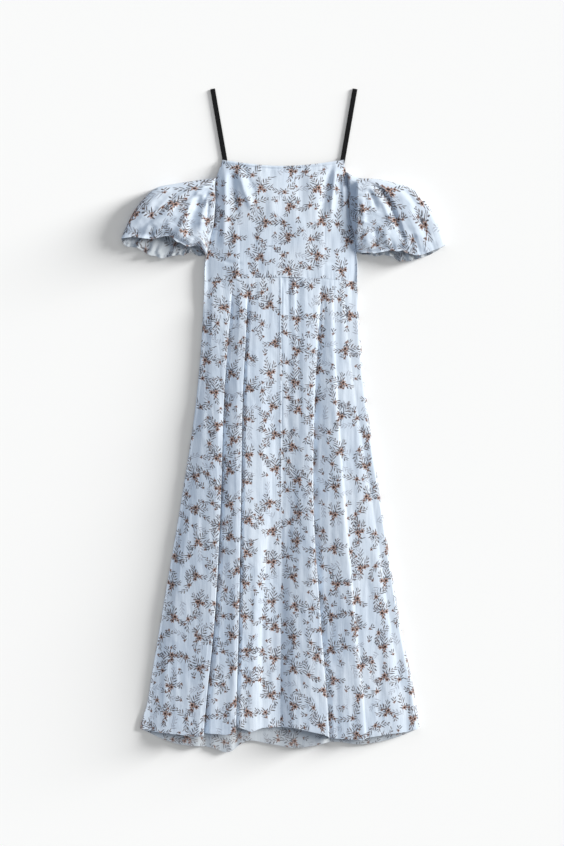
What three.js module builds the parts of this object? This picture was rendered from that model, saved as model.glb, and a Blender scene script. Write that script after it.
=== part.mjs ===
// An off-shoulder midi dress, laid flat on its back as it lies on a table.
// Units are millimetres. +X is to the viewer's right, +Y runs up the dress towards the straps,
// and +Z stands up from the surface that the dress lies on. The origin is on that surface, under
// the middle of the laid dress.
//
// Every cloth panel is a wall of even thickness. Each panel's outside is a function of two
// numbers from 0 to 1, one across and one along, worked out from the short tables below.
import * as THREE from "three";

// Cloth and seams
const CLOTH = 1.5;
const GAP = 0.3;
const LYING = 2 * CLOTH + GAP;

// Bodice: a row for each height, evenly spaced from the top edge to the waist. left and right
// are the side edges, edge and middle say how high the outside of the front stands there.
const BODICE_TOP = 533;
const BODICE_HEIGHT = 250;
const BODICE = [
  { row: "top edge", left: -125, right: 124, edge: 7, middle: 13 },
  { row: "armhole top", left: -138, right: 131, edge: 9, middle: 20 },
  { row: "bust", left: -138, right: 134, edge: 10, middle: 25 },
  { row: "under bust", left: -141, right: 137, edge: 9, middle: 24 },
  { row: "underarm", left: -150, right: 146, edge: 6, middle: 21 },
  { row: "ribs", left: -160, right: 151, edge: LYING, middle: 19 },
  { row: "waist", left: -161.5, right: 151, edge: LYING, middle: 17 },
];
const BODICE_CROWN = 4;
const TOP_DIP = 13;
const BACK_NECK_DROP = 8;
const WAIST_RISE = 9;

// Folds of the bodice front: each is a soft ridge, or a trough where its height is negative,
// along a line from one place to another.
const BODICE_FOLDS = [
  { fold: "left armhole ridge", from: [-119, 518], to: [-122, 345], width: 8, height: 4 },
  { fold: "left armhole trough", from: [-103, 505], to: [-100, 450], width: 7, height: -4 },
  { fold: "left bust ridge", from: [-93, 515], to: [-64, 440], width: 8, height: 3.5 },
  { fold: "right bust trough", from: [98, 522], to: [75, 416], width: 8, height: -4 },
  { fold: "right bust ridge", from: [104, 505], to: [95, 430], width: 7, height: 3.5 },
  { fold: "left waist dart", from: [-89, 412], to: [-89, 286], width: 5, height: -3 },
  { fold: "right waist dart", from: [85, 412], to: [85, 286], width: 5, height: -3 },
];

// Skirt front: a row for each ridge, valley or edge that runs from the waist to the hem. x and
// high are its place and its height at the waist, at each quarter of the way, and at the hem.
// hem is how far up the dress it ends.
const SEAM_LINE = { x: [-5, -4, -4, -5, -6], high: [17, 16, 15, 13, 10], hem: -628 };
const SKIRT_LEFT = [
  { line: "side seam", x: [-161.5, -177, -211, -250, -283], high: [LYING, LYING, LYING, LYING, LYING], hem: -632 },
  { line: "side roll", x: [-155, -170, -203, -240, -270], high: [12, 14, 13, 10, 9], hem: -636 },
  { line: "valley", x: [-146, -161, -193, -226, -253], high: [13, 14, 11, 7, 5], hem: -640 },
  { line: "ridge", x: [-115, -131, -141, -177, -191], high: [15, 20, 23, 23, 18], hem: -647 },
  { line: "crease", x: [-106, -119, -126, -138, -154], high: [12, 10, 8, 6, 5], hem: -642 },
  { line: "ridge", x: [-87, -94.5, -93, -93, -106], high: [16, 21, 25, 26, 22], hem: -644 },
  { line: "valley", x: [-66, -78, -78, -78.5, -91], high: [14, 11, 9, 7, 5], hem: -631 },
  { line: "ridge", x: [-44, -48.5, -45, -51, -51], high: [17, 21, 24, 24, 18], hem: -638 },
  { line: "centre seam", ...SEAM_LINE },
];
const SKIRT_RIGHT = [
  { line: "centre seam", ...SEAM_LINE },
  { line: "valley", x: [5.5, 9.5, 12, 5.5, 1.5], high: [16, 12, 8, 5, 4], hem: -629 },
  { line: "ridge", x: [57, 48, 55, 72, 92], high: [17, 22, 26, 28, 24], hem: -642 },
  { line: "valley", x: [85.5, 77, 80, 93, 110], high: [14, 11, 8, 6, 5], hem: -654 },
  { line: "ridge", x: [104, 111, 121, 138, 159], high: [16, 20, 22, 22, 17], hem: -655 },
  { line: "valley", x: [122, 129.5, 135, 153, 182], high: [13, 12, 9, 8, 7], hem: -650 },
  { line: "ridge", x: [134, 144, 160, 190, 215], high: [14, 18, 21, 21, 16], hem: -642 },
  { line: "valley", x: [140, 153, 180, 211, 243], high: [12, 12, 10, 7, 6], hem: -638 },
  { line: "side roll", x: [145, 162.5, 192, 226, 265], high: [11, 14, 16, 15, 12], hem: -634 },
  { line: "side seam", x: [151, 169.5, 202, 238, 279], high: [LYING, LYING, LYING, LYING, LYING], hem: -631 },
];
const GATHER_REACH = 0.08;
const CORNER_FLARE = 10;
const FLARE_START = 0.93;

// Skirt back: it lies flat, and its hem hangs below the front's.
const BACK_HEM = [
  { x: -293, y: -632 },
  { x: -245, y: -654 },
  { x: -205, y: -665 },
  { x: -150, y: -670 },
  { x: -112, y: -680 },
  { x: -75, y: -657 },
  { x: -30, y: -663 },
  { x: 20, y: -671 },
  { x: 60, y: -667 },
  { x: 105, y: -659 },
  { x: 160, y: -664 },
  { x: 225, y: -652 },
  { x: 279, y: -631 },
];

// Sleeves: fold is the outer fold line from the armhole to the cuff. cuff and under are the
// hems of the upper and the lower layer, from that fold to the underarm.
const SLEEVES = {
  left: {
    side: "left",
    armhole: [496, 363],
    underarm: 338,
    fold: [[-181, 490], [-224, 483], [-262, 474], [-292, 446], [-314, 412], [-332, 371]],
    cuff: [[-305, 374], [-268, 368], [-232, 371], [-197, 357]],
    under: [[-306, 350], [-262, 336], [-215, 336]],
    trough: { across: 0.62, width: 0.12, depth: 9 },
  },
  right: {
    side: "right",
    armhole: [508, 366],
    underarm: 344,
    fold: [[151, 496], [192, 493], [233, 484], [268, 471], [295, 441], [315, 405], [332, 358]],
    cuff: [[300, 350], [268, 352], [235, 351], [195, 345]],
    under: [[290, 336], [245, 327], [200, 338]],
    trough: { across: 0.5, width: 0.12, depth: 8 },
  },
};
// How high the upper layer puffs at each place along the sleeve. Beside the bodice the right
// one lies low before it rises.
const PUFF = [
  { along: 0, left: 10, right: 9 },
  { along: 0.06, left: 19, right: 9 },
  { along: 0.15, left: 29, right: 27 },
  { along: 0.3, left: 38, right: 38 },
  { along: 0.46, left: 43, right: 43 },
  { along: 0.64, left: 42, right: 42 },
  { along: 0.82, left: 34, right: 34 },
  { along: 1, left: 22, right: 22 },
];
const SLEEVE_STEPS = [0, 0.06, 0.1, 0.15, 0.22, 0.3, 0.38, 0.46, 0.55, 0.64, 0.73, 0.82, 0.91, 1];
const SLEEVE_EDGE = 5;
const SLEEVE_CROWN = 2.6;
const SLEEVE_WALL = 1.7;
const SLEEVE_CLEAR = 0.6;
const SCALLOP = { depth: 3, count: 6 };

// Straps: narrow woven bands, each folded over at the shoulder, with both legs laid together.
const STRAP = { width: 10, thick: 1.2, inside: 12, ramp: 10 };
const STRAPS = {
  strap_left: { foot: [-117, 517], top: [-145, 679] },
  strap_right: { foot: [119, 517], top: [147, 679] },
};

const CLOTH_COLOUR = { color: 0xcfdcf0, roughness: 0.85, metalness: 0 };
const STRAP_COLOUR = { color: 0x17181a, roughness: 0.7, metalness: 0 };

const { smoothstep, lerp, clamp } = THREE.MathUtils;

// The value at t, from 0 to 1, of a smooth curve through evenly spaced values.
function through(values, t) {
  const points = values.map((value) => new THREE.Vector2(value, 0));
  return new THREE.SplineCurve(points).getPoint(t).x;
}

// The place at t of a smooth curve through points in the plane.
function route(points, t) {
  return new THREE.SplineCurve(points.map(([x, y]) => new THREE.Vector2(x, y))).getPoint(t);
}

// A closed solid from an outside surface and an inside surface, both grids of rows of points.
// Where ring is true each row closes on itself, as on a sleeve, and only its ends get an edge.
function wall(outside, inside, ring = false) {
  const rows = outside.length;
  const columns = outside[0].length;
  const positions = [...outside.flat(), ...inside.flat()].flatMap((p) => [p.x, p.y, p.z]);
  const outer = (row, column) => row * columns + (column % columns);
  const inner = (row, column) => rows * columns + outer(row, column);
  const faces = [];
  const quad = (a, b, c, d) => faces.push(a, b, c, a, c, d);
  const spans = ring ? columns : columns - 1;
  for (let row = 0; row < rows - 1; row++) {
    for (let column = 0; column < spans; column++) {
      quad(outer(row, column), outer(row + 1, column), outer(row + 1, column + 1), outer(row, column + 1));
      quad(inner(row, column), inner(row, column + 1), inner(row + 1, column + 1), inner(row + 1, column));
    }
  }
  for (let column = 0; column < spans; column++) {
    const last = rows - 1;
    quad(outer(0, column), outer(0, column + 1), inner(0, column + 1), inner(0, column));
    quad(outer(last, column + 1), outer(last, column), inner(last, column), inner(last, column + 1));
  }
  for (let row = 0; row < rows - 1 && !ring; row++) {
    const last = columns - 1;
    quad(outer(row + 1, 0), outer(row, 0), inner(row, 0), inner(row + 1, 0));
    quad(outer(row, last), outer(row + 1, last), inner(row + 1, last), inner(row, last));
  }
  const geometry = new THREE.BufferGeometry();
  geometry.setAttribute("position", new THREE.Float32BufferAttribute(positions, 3));
  geometry.setIndex(faces);
  return geometry;
}

// A panel of even thickness under an outside surface: each inside point is a cloth's thickness
// below it along the surface's own normal, and straight below it at the panel's cut edges.
function panel(outside) {
  const last = { row: outside.length - 1, column: outside[0].length - 1 };
  const inside = outside.map((points, row) =>
    points.map((point, column) => {
      if (row === 0 || column === 0 || row === last.row || column === last.column) {
        return point.clone().setZ(point.z - CLOTH);
      }
      const across = outside[row][column + 1].clone().sub(outside[row][column - 1]);
      const down = outside[row + 1][column].clone().sub(outside[row - 1][column]);
      const normal = down.cross(across).normalize();
      return point.clone().addScaledVector(normal, -CLOTH);
    }),
  );
  return wall(outside, inside);
}

function grid(rows, columns, at) {
  return Array.from({ length: rows + 1 }, (_, row) =>
    Array.from({ length: columns + 1 }, (_, column) => at(column / columns, row / rows)),
  );
}

// Bodice
const bodiceDown = (y) => clamp((BODICE_TOP - y) / BODICE_HEIGHT, 0, 1);
const bodice = (column, down) => through(BODICE.map((row) => row[column]), down);
const sideEdge = (side, y) => bodice(side, bodiceDown(y));

function waistline(x) {
  const reach = x / BODICE[BODICE.length - 1].right;
  return BODICE_TOP - BODICE_HEIGHT + WAIST_RISE * (1 - reach * reach);
}

function crown(x, down, power) {
  const left = bodice("left", down);
  const right = bodice("right", down);
  const reach = Math.abs((2 * x - left - right) / (right - left));
  return 1 - Math.min(1, reach) ** power;
}

function frontHeight(x, down) {
  return lerp(bodice("edge", down), bodice("middle", down), crown(x, down, BODICE_CROWN));
}

// A fold's height at a place: full along the middle of its line, and fading to both sides and
// towards both ends.
function foldHeight({ from, to, width, height }, x, y) {
  const start = new THREE.Vector2(...from);
  const line = new THREE.Vector2(...to).sub(start);
  const place = new THREE.Vector2(x, y).sub(start);
  const along = place.dot(line) / line.lengthSq();
  const aside = place.cross(line) / line.length() / width;
  const ends = smoothstep(along, -0.15, 0.25) * (1 - smoothstep(along, 0.8, 1.1));
  return height * ends * Math.exp(-aside * aside);
}

function bodicePoint(across, down, isFront) {
  const x = lerp(bodice("left", down), bodice("right", down), across);
  const dip = TOP_DIP * Math.sin(Math.PI * across) + (isFront ? 0 : BACK_NECK_DROP);
  const y = lerp(BODICE_TOP - dip, waistline(x) + GAP / 2, down);
  if (!isFront) {
    return new THREE.Vector3(x, y, CLOTH);
  }
  const inner = smoothstep(down, 0, 0.1) * (1 - smoothstep(down, 0.9, 1)) * crown(x, down, 8);
  const folds = BODICE_FOLDS.reduce((sum, fold) => sum + foldHeight(fold, x, y), 0);
  return new THREE.Vector3(x, y, frontHeight(x, down) + folds * inner);
}

const bodiceFront = () => panel(grid(12, 22, (across, down) => bodicePoint(across, down, true)));
const bodiceBack = () => panel(grid(12, 16, (across, down) => bodicePoint(across, down, false)));

// Skirt
function flare(x, down) {
  return Math.sign(x) * CORNER_FLARE * smoothstep(down, FLARE_START, 1);
}

function skirtLine(line, down, isLeftEdge) {
  const x = through(line.x, down) + (isLeftEdge ? flare(-1, down) : 0);
  const y = lerp(waistline(x) - GAP / 2, line.hem, down);
  const gathered = frontHeight(x, 1);
  const high = lerp(gathered, through(line.high, down), smoothstep(down, 0, GATHER_REACH));
  return new THREE.Vector3(x, y, high);
}

// One front panel: its columns lie on the fold lines and, between two of them, on a smooth
// slope from the one to the other.
function skirtPanel(lines, seamShift, stepsPerFold, rows) {
  const spans = lines.length - 1;
  return panel(
    grid(rows, spans * stepsPerFold, (across, down) => {
      const place = across * spans;
      const first = Math.min(Math.floor(place + 1e-6), spans - 1);
      const part = place - first;
      const a = skirtLine(lines[first], down, lines === SKIRT_LEFT && first === 0);
      const b = skirtLine(lines[first + 1], down, false);
      const x = lerp(a.x, b.x, part);
      const height = lerp(a.z, b.z, smoothstep(part, 0, 1));
      const y = lerp(a.y, b.y, part) + (waistline(x) - lerp(waistline(a.x), waistline(b.x), part)) * (1 - down);
      const atSeam = lines === SKIRT_LEFT ? across === 1 : across === 0;
      return new THREE.Vector3(x + (atSeam ? seamShift : 0), y, height);
    }),
  );
}

function skirtBack() {
  const left = SKIRT_LEFT[0];
  const right = SKIRT_RIGHT[SKIRT_RIGHT.length - 1];
  const hem = BACK_HEM.map(({ x, y }) => [x, y]);
  return panel(
    grid(10, 24, (across, down) => {
      const low = route(hem, across);
      const x = lerp(through(left.x, down) + flare(-1, down), through(right.x, down), across);
      const straight = lerp(BACK_HEM[0].x, BACK_HEM[BACK_HEM.length - 1].x, across);
      const shifted = x + (low.x - straight) * down;
      return new THREE.Vector3(shifted, lerp(waistline(shifted) - GAP / 2, low.y, down), CLOTH);
    }),
  );
}

// Sleeves: a tube flattened on the surface. In plan its armhole, outer fold, hem and underarm
// are four curves, and the layer between them is the smooth patch that they frame.
function patch(armhole, fold, hem, underarm, across, along) {
  const corner = (x, y) => (x === 0 ? fold(y) : underarm(y));
  const sides = fold(along).clone().lerp(underarm(along), across);
  const ends = armhole(across).clone().lerp(hem(across), along);
  const top = corner(0, 0).clone().lerp(corner(1, 0), across);
  const low = corner(0, 1).clone().lerp(corner(1, 1), across);
  return sides.add(ends).sub(top.lerp(low, along));
}

function sleeve(cut) {
  const outwards = cut.side === "left" ? -1 : 1;
  const seam = (y) => new THREE.Vector2(sideEdge(cut.side, y) + outwards * SLEEVE_CLEAR, y);
  const armhole = (across) => seam(lerp(cut.armhole[0], cut.armhole[1], across));
  const underarm = (along) => seam(lerp(cut.armhole[1], cut.underarm, along));
  const start = armhole(0);
  const fold = (along) => route([[start.x, start.y], ...cut.fold], along);
  const corners = [fold(1), underarm(1)].map(({ x, y }) => [x, y]);
  const hem = (points) => (across) => {
    const place = route([corners[0], ...points, corners[1]], across);
    const wave = Math.sin(Math.PI * across) * Math.sin(Math.PI * across * SCALLOP.count);
    return place.setY(place.y + SCALLOP.depth * wave);
  };
  const upper = (across, along) => patch(armhole, fold, hem(cut.cuff), underarm, across, along);
  const lower = (across, along) => patch(armhole, fold, hem(cut.under), underarm, across, along);
  const puff = (across, along) => {
    const arch = 1 - Math.abs(2 * across - 1) ** SLEEVE_CROWN;
    const { across: middle, width, depth } = cut.trough;
    const dent = depth * Math.exp(-(((across - middle) / width) ** 2)) * Math.sin(Math.PI * along);
    const height = puffAt(cut.side, along);
    return SLEEVE_EDGE + (height - SLEEVE_EDGE) * arch - dent * arch;
  };
  const upperSteps = [0, 0.03, 0.08, 0.16, 0.26, 0.36, 0.46, 0.56, 0.66, 0.76, 0.85, 0.92, 0.97, 1];
  const lowerSteps = [0, 0.12, 0.25, 0.38, 0.5, 0.62, 0.75, 0.88, 1];
  const outside = [];
  const inside = [];
  for (const along of SLEEVE_STEPS) {
    const middle = upper(0.5, along);
    const inset = (place) => {
      const inwards = middle.clone().sub(place);
      const reach = inwards.length();
      return place.clone().addScaledVector(inwards, reach > SLEEVE_WALL ? SLEEVE_WALL / reach : 0);
    };
    const at = (place, z) => new THREE.Vector3(place.x, place.y, z);
    const above = upperSteps.map((across) => ({ place: upper(across, along), z: puff(across, along) }));
    const below = lowerSteps.map((across) => ({ place: lower(across, along) })).reverse();
    outside.push([...above.map(({ place, z }) => at(place, z)), ...below.map(({ place }) => at(place, 0))]);
    const ceiling = (z) => Math.max(z - SLEEVE_WALL, CLOTH + 1);
    inside.push([
      ...above.map(({ place, z }) => at(inset(place), ceiling(z))),
      ...below.map(({ place }) => at(inset(place), CLOTH)),
    ]);
  }
  const facing = (rings) => (cut.side === "left" ? rings : rings.map((ring) => ring.reverse()));
  return wall(facing(outside), facing(inside), true);
}

function puffAt(side, along) {
  const next = Math.max(1, PUFF.findIndex((row) => along <= row.along + 1e-9));
  const [low, high] = [PUFF[next - 1], PUFF[next]];
  return lerp(low[side], high[side], (along - low.along) / (high.along - low.along));
}

// Straps: the folded band is an outline in the plane of its length and its height, carried
// across its width. Inside the neckline the legs part, one on each panel.
function strap({ foot, top }) {
  const run = new THREE.Vector2(...top).sub(new THREE.Vector2(...foot));
  const length = run.length();
  const { width, thick, inside, ramp } = STRAP;
  const rearFoot = CLOTH + GAP;
  const frontFoot = rearFoot + thick + GAP;
  const frontLying = thick + GAP;
  const end = inside + ramp;
  const outline = new THREE.Shape();
  outline.moveTo(0, rearFoot);
  outline.lineTo(inside, rearFoot);
  outline.lineTo(end, 0);
  outline.lineTo(length, 0);
  outline.lineTo(length, frontLying + thick);
  outline.lineTo(end, frontLying + thick);
  outline.lineTo(inside, frontFoot + thick);
  outline.lineTo(0, frontFoot + thick);
  outline.lineTo(0, frontFoot);
  outline.lineTo(inside, frontFoot);
  outline.lineTo(end, frontLying);
  outline.lineTo(length - thick, frontLying);
  outline.lineTo(length - thick, thick);
  outline.lineTo(end, thick);
  outline.lineTo(inside, rearFoot + thick);
  outline.lineTo(0, rearFoot + thick);
  outline.closePath();
  const geometry = new THREE.ExtrudeGeometry(outline, { depth: width, bevelEnabled: false });
  geometry.translate(0, 0, -width / 2);
  geometry.rotateX(Math.PI / 2);
  return { geometry, turn: run.angle(), foot };
}

const dress = new THREE.Group();

function sew(name, geometry, look = CLOTH_COLOUR) {
  geometry.computeVertexNormals();
  const piece = new THREE.Mesh(geometry, new THREE.MeshStandardMaterial(look));
  piece.name = name;
  dress.add(piece);
  return piece;
}

sew("bodice_front", bodiceFront());
sew("bodice_back", bodiceBack());
sew("skirt_front_left", skirtPanel(SKIRT_LEFT, -GAP / 2, 3, 16));
sew("skirt_front_right", skirtPanel(SKIRT_RIGHT, GAP / 2, 3, 16));
sew("skirt_back", skirtBack());
sew("sleeve_left", sleeve(SLEEVES.left));
sew("sleeve_right", sleeve(SLEEVES.right));
for (const [name, path] of Object.entries(STRAPS)) {
  const { geometry, turn, foot } = strap(path);
  const piece = sew(name, geometry, STRAP_COLOUR);
  piece.position.set(foot[0], foot[1], 0);
  piece.rotation.z = turn;
}

export default dress;
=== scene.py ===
# %% [markdown]
# # An off-shoulder dress, laid flat
# The dress lies on its back on a pale table and is seen from straight above. It has a darted
# bodice, a flared skirt in two front panels, puffed elbow sleeves and two black shoulder straps.
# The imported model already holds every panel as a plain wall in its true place. This notebook
# gives each one its cloth: a fine surface in the same place, with its folds, seams and print.

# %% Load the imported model
import functools

import bpy
import numpy as np
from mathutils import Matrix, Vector


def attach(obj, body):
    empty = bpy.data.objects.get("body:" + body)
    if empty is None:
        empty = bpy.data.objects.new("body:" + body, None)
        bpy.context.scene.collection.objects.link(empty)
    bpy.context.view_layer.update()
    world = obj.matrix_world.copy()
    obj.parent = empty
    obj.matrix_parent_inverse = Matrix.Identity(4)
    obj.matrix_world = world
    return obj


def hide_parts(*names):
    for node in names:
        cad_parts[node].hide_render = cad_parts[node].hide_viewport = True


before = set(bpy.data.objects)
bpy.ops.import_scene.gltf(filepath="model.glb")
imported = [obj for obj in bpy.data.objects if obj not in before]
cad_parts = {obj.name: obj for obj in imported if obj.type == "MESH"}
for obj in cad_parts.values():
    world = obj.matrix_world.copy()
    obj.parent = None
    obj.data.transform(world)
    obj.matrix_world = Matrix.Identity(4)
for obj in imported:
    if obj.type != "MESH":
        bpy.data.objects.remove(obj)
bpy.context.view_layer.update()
MM = 0.001
print("nodes:", sorted(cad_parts))

# %% [markdown]
# ## Curves, blends and noise
# Cloth has few straight lines. Every edge and fold line below is a short row of sizes, one for
# each station along it, and a smooth curve goes through them. Small uneven ripples come from
# seeded noise, so that the dress is the same each time it is made.

# %% Smooth curves, blends and noise


def through(values, t):
    """A smooth curve through evenly spaced values, read at t from 0 to 1. Between two values it
    is the cubic that leaves each with the slope from its left neighbour to its right one."""
    values = np.asarray(values, float)
    last = len(values) - 1
    place = np.clip(np.asarray(t, float), 0, 1) * last
    near = np.minimum(place.astype(int), last)
    w = place - near
    if values.ndim > 1:
        w = w[..., None]
    a, b, c, d = (values[np.clip(near + step, 0, last)] for step in (-1, 0, 1, 2))
    low_slope, high_slope = (c - a) / 2, (d - b) / 2
    cubic = 2 * b - 2 * c + low_slope + high_slope
    square = -3 * b + 3 * c - 2 * low_slope - high_slope
    return ((cubic * w + square) * w + low_slope) * w + b


def lerp(a, b, t):
    """The blend from a at t = 0 to b at t = 1, along a straight line."""
    return a + (b - a) * t


def ease(x, low=0.0, high=1.0):
    """0 below low, 1 above high, and the curve 3t^2 - 2t^3 between them."""
    t = np.clip((x - low) / (high - low), 0, 1)
    return t * t * (3 - 2 * t)


def bump(x, middle, width):
    """A bell: 1 at its middle, and about a third at its width."""
    return np.exp(-(((x - middle) / width) ** 2))


NOISE_TABLE = (97, 89)


def noise(u, v, seed):
    """Smooth noise from -1 to 1: random values on the whole numbers, blended between them by
    the curve 6t^5 - 15t^4 + 10t^3."""
    table = np.random.default_rng(seed).uniform(-1, 1, NOISE_TABLE)
    iu, iv = np.floor(u).astype(int), np.floor(v).astype(int)
    fu, fv = ((t**3 * (t * (6 * t - 15) + 10)) for t in (u - iu, v - iv))
    wide, high = NOISE_TABLE
    corner = [[table[(iu + i) % wide, (iv + j) % high] for j in (0, 1)] for i in (0, 1)]
    return lerp(lerp(corner[0][0], corner[1][0], fu), lerp(corner[0][1], corner[1][1], fu), fv)


# %% [markdown]
# ## From a grid of points to a piece of cloth
# Cloth could be simulated, by sewing a pattern and dropping it on the table. Its folds would then
# fall where they like, and these have their places, so each panel is worked out instead. It is
# a grid: rows run down it and columns run across, and its points are whole arrays. A chart says
# where each point lies on the uncut cloth, in metres, so that the print keeps its size on every
# slope and fold. Solidify then gives the sheet its thickness, with the wrong side of the cloth as
# a second material inside.

# %% Panels from grids
CLOTH_THICKNESS = 0.6 * MM


def make_surface(name, points, chart, ring=False):
    """A mesh of four-sided faces over a grid of points. With ring, the last column joins the
    first, and the chart has one more column than the points."""
    rows, columns = points.shape[:2]
    index = np.arange(rows * columns).reshape(rows, columns)
    spot = np.arange(chart.shape[0] * chart.shape[1]).reshape(chart.shape[:2])
    if ring:
        index = np.concatenate([index, index[:, :1]], axis=1)
    corners = [index[:-1, :-1], index[1:, :-1], index[1:, 1:], index[:-1, 1:]]
    spots = [spot[:-1, :-1], spot[1:, :-1], spot[1:, 1:], spot[:-1, 1:]]
    faces = np.stack(corners, axis=-1).reshape(-1)
    mesh = bpy.data.meshes.new(name)
    mesh.vertices.add(rows * columns)
    mesh.vertices.foreach_set("co", points.reshape(-1))
    mesh.loops.add(len(faces))
    mesh.loops.foreach_set("vertex_index", faces)
    mesh.polygons.add(len(faces) // 4)
    mesh.polygons.foreach_set("loop_start", np.arange(0, len(faces), 4))
    mesh.update(calc_edges=True)
    edge_of_corner = np.empty(len(faces), int)
    mesh.loops.foreach_get("edge_index", edge_of_corner)
    rim = np.bincount(edge_of_corner, minlength=len(mesh.edges)) == 1
    mesh.attributes.new("sharp_edge", "BOOLEAN", "EDGE").data.foreach_set("value", rim)
    layer = mesh.uv_layers.new(name="chart")
    spot_of_corner = np.stack(spots, axis=-1).reshape(-1)
    layer.data.foreach_set("uv", chart.reshape(-1, 2)[spot_of_corner].reshape(-1))
    mesh.shade_smooth()
    piece = bpy.data.objects.new(name, mesh)
    bpy.context.scene.collection.objects.link(piece)
    return piece


def lengths(points, axis):
    """How far along its own row or column each point lies, measured on the surface."""
    steps = np.linalg.norm(np.diff(points, axis=axis), axis=-1)
    start = np.zeros_like(np.take(steps, [0], axis=axis))
    return np.concatenate([start, np.cumsum(steps, axis=axis)], axis=axis)


def chart_of(points, origin=0.5, shift=(0.0, 0.0)):
    """The cloth's own coordinates: across is the length along each row from the column at
    origin, and up is the length along that column from the panel's lower end."""
    across = lengths(points, 1)
    column = int(round(origin * (points.shape[1] - 1)))
    down = lengths(points, 0)[:, column]
    u = across - across[:, column : column + 1] + shift[0]
    v = np.broadcast_to((down[-1] - down)[:, None], u.shape) + shift[1]
    return np.stack([u, v], axis=-1)


def cut_size(chart):
    """Width, length and area of the flat cloth that a chart describes, in metres."""
    width = chart[..., 0].max(axis=1) - chart[..., 0].min(axis=1)
    length = chart[..., 1].max() - chart[..., 1].min()
    return float(width.max()), float(length), float(width.mean() * length)


def sew(piece, chart, node, cloth):
    """Gives a panel its thickness and materials, hangs it from the root, hides the imported part
    that it stands for, and prints its cut size and faces.
    """
    wall = piece.modifiers.new("thickness", "SOLIDIFY")
    wall.thickness = CLOTH_THICKNESS
    wall.offset = -1
    for material in cloth:
        piece.data.materials.append(material)
    wall.material_offset = len(cloth) - 1
    wall.material_offset_rim = 0
    width, length, area = cut_size(chart)
    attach(piece, "root")
    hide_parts(node)
    area = min(area, width * length)
    size = f"cut {width:.3f} x {length:.3f} m, {area:.3f} m2"
    print(f"{piece.name}: {size}, {len(piece.data.polygons)} faces")


# %% [markdown]
# ## Shader maths
# A pattern on cloth is arithmetic on the chart's two coordinates. Written node by node it would
# be unreadable, so one small class stands for the output of a node, and arithmetic on it adds
# the Math nodes that do it.

# %% A wrapper for node outputs


class Shade:
    """The output of a node in a material. Arithmetic on it adds Math nodes."""

    def __init__(self, tree, socket=None):
        self.tree = tree
        self.socket = socket

    def node(self, kind, settings=None, inputs=None, output=0):
        """Adds any node: its settings first, such as a Math node's operation, then its inputs,
        each a number, a colour or another Shade."""
        made = self.tree.nodes.new(kind)
        for key, value in (settings or {}).items():
            setattr(made, key, value)
        for key, value in (inputs or {}).items():
            if isinstance(value, Shade):
                self.tree.links.new(value.socket, made.inputs[key])
            else:
                made.inputs[key].default_value = value
        return Shade(self.tree, made.outputs[output])

    def math(self, operation, *values):
        """A Math node with these values in its sockets, in order."""
        return self.node("ShaderNodeMath", {"operation": operation}, dict(enumerate(values)))

    def noise(self, scale):
        """Blender's own smooth noise over this pair of coordinates, from 0 to 1."""
        inputs = {"Vector": self, "Scale": scale}
        return self.node("ShaderNodeTexNoise", {"noise_dimensions": "2D"}, inputs)

    def __add__(self, other):
        return self.math("ADD", self, other)

    def __radd__(self, other):
        return self.math("ADD", other, self)

    def __sub__(self, other):
        return self.math("SUBTRACT", self, other)

    def __rsub__(self, other):
        return self.math("SUBTRACT", other, self)

    def __mul__(self, other):
        return self.math("MULTIPLY", self, other)

    def __rmul__(self, other):
        return self.math("MULTIPLY", other, self)

    def __truediv__(self, other):
        return self.math("DIVIDE", self, other)

    def __abs__(self):
        return self.math("ABSOLUTE", self)

    def floor(self):
        return self.math("FLOOR", self)

    def fract(self):
        return self.math("FRACT", self)

    def sine(self):
        return self.math("SINE", self)

    def cosine(self):
        return self.math("COSINE", self)

    def root(self):
        return self.math("SQRT", self)

    def most(self, other):
        return self.math("MAXIMUM", self, other)

    def over(self, limit):
        """1 above the limit and 0 below it."""
        return self.math("GREATER_THAN", self, limit)

    def between(self, low, high):
        """0 below low and 1 above high, with a soft step between them."""
        settings = {"interpolation_type": "SMOOTHSTEP"}
        inputs = {0: self, 1: low, 2: high, 3: 0.0, 4: 1.0}
        return self.node("ShaderNodeMapRange", settings, inputs)

    def colour(self, low, high):
        """The colour low where this is 0 and high where it is 1."""
        settings = {"data_type": "RGBA"}
        return self.node("ShaderNodeMix", settings, {0: self, 6: low, 7: high}, output=2)

    def split(self):
        """The three numbers of a vector, one Shade each."""
        parts = self.tree.nodes.new("ShaderNodeSeparateXYZ")
        self.tree.links.new(self.socket, parts.inputs[0])
        return [Shade(self.tree, parts.outputs[i]) for i in range(3)]


def new_material(name):
    """An empty material with its shader, and a Shade to start its maths from."""
    material = bpy.data.materials.new(name)
    material.use_nodes = True
    tree = material.node_tree
    tree.nodes.clear()
    output = tree.nodes.new("ShaderNodeOutputMaterial")
    shader = tree.nodes.new("ShaderNodeBsdfPrincipled")
    tree.links.new(shader.outputs[0], output.inputs[0])
    return material, shader, Shade(tree)


def rgba(red, green, blue):
    """A solid colour, with its alpha of 1."""
    return (red, green, blue, 1.0)


# %% [markdown]
# ## The flower print
# The cloth is a pale blue with a small scattered print: rust blossoms with dark hearts, leafy
# sprays that spread from them, loose buds between, and faint sprays behind. It is charted from
# these few motifs. Each is drawn once in its own little square of cloth, and every square of a
# lattice turns and shifts its copy by a random amount, which hides the rows.
# All sizes in this section are millimetres on the cloth.

# %% Motifs of the print
LEAF_HALF_WIDTH = 1.3
STEM_HALF_WIDTH = 0.5


def turned(x, y, angle):
    """The plane's coordinates after a turn by an angle, a number or a Shade."""
    if isinstance(angle, Shade):
        cosine, sine = angle.cosine(), angle.sine()
    else:
        cosine, sine = float(np.cos(angle)), float(np.sin(angle))
    return x * cosine + y * sine, y * cosine - x * sine


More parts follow.
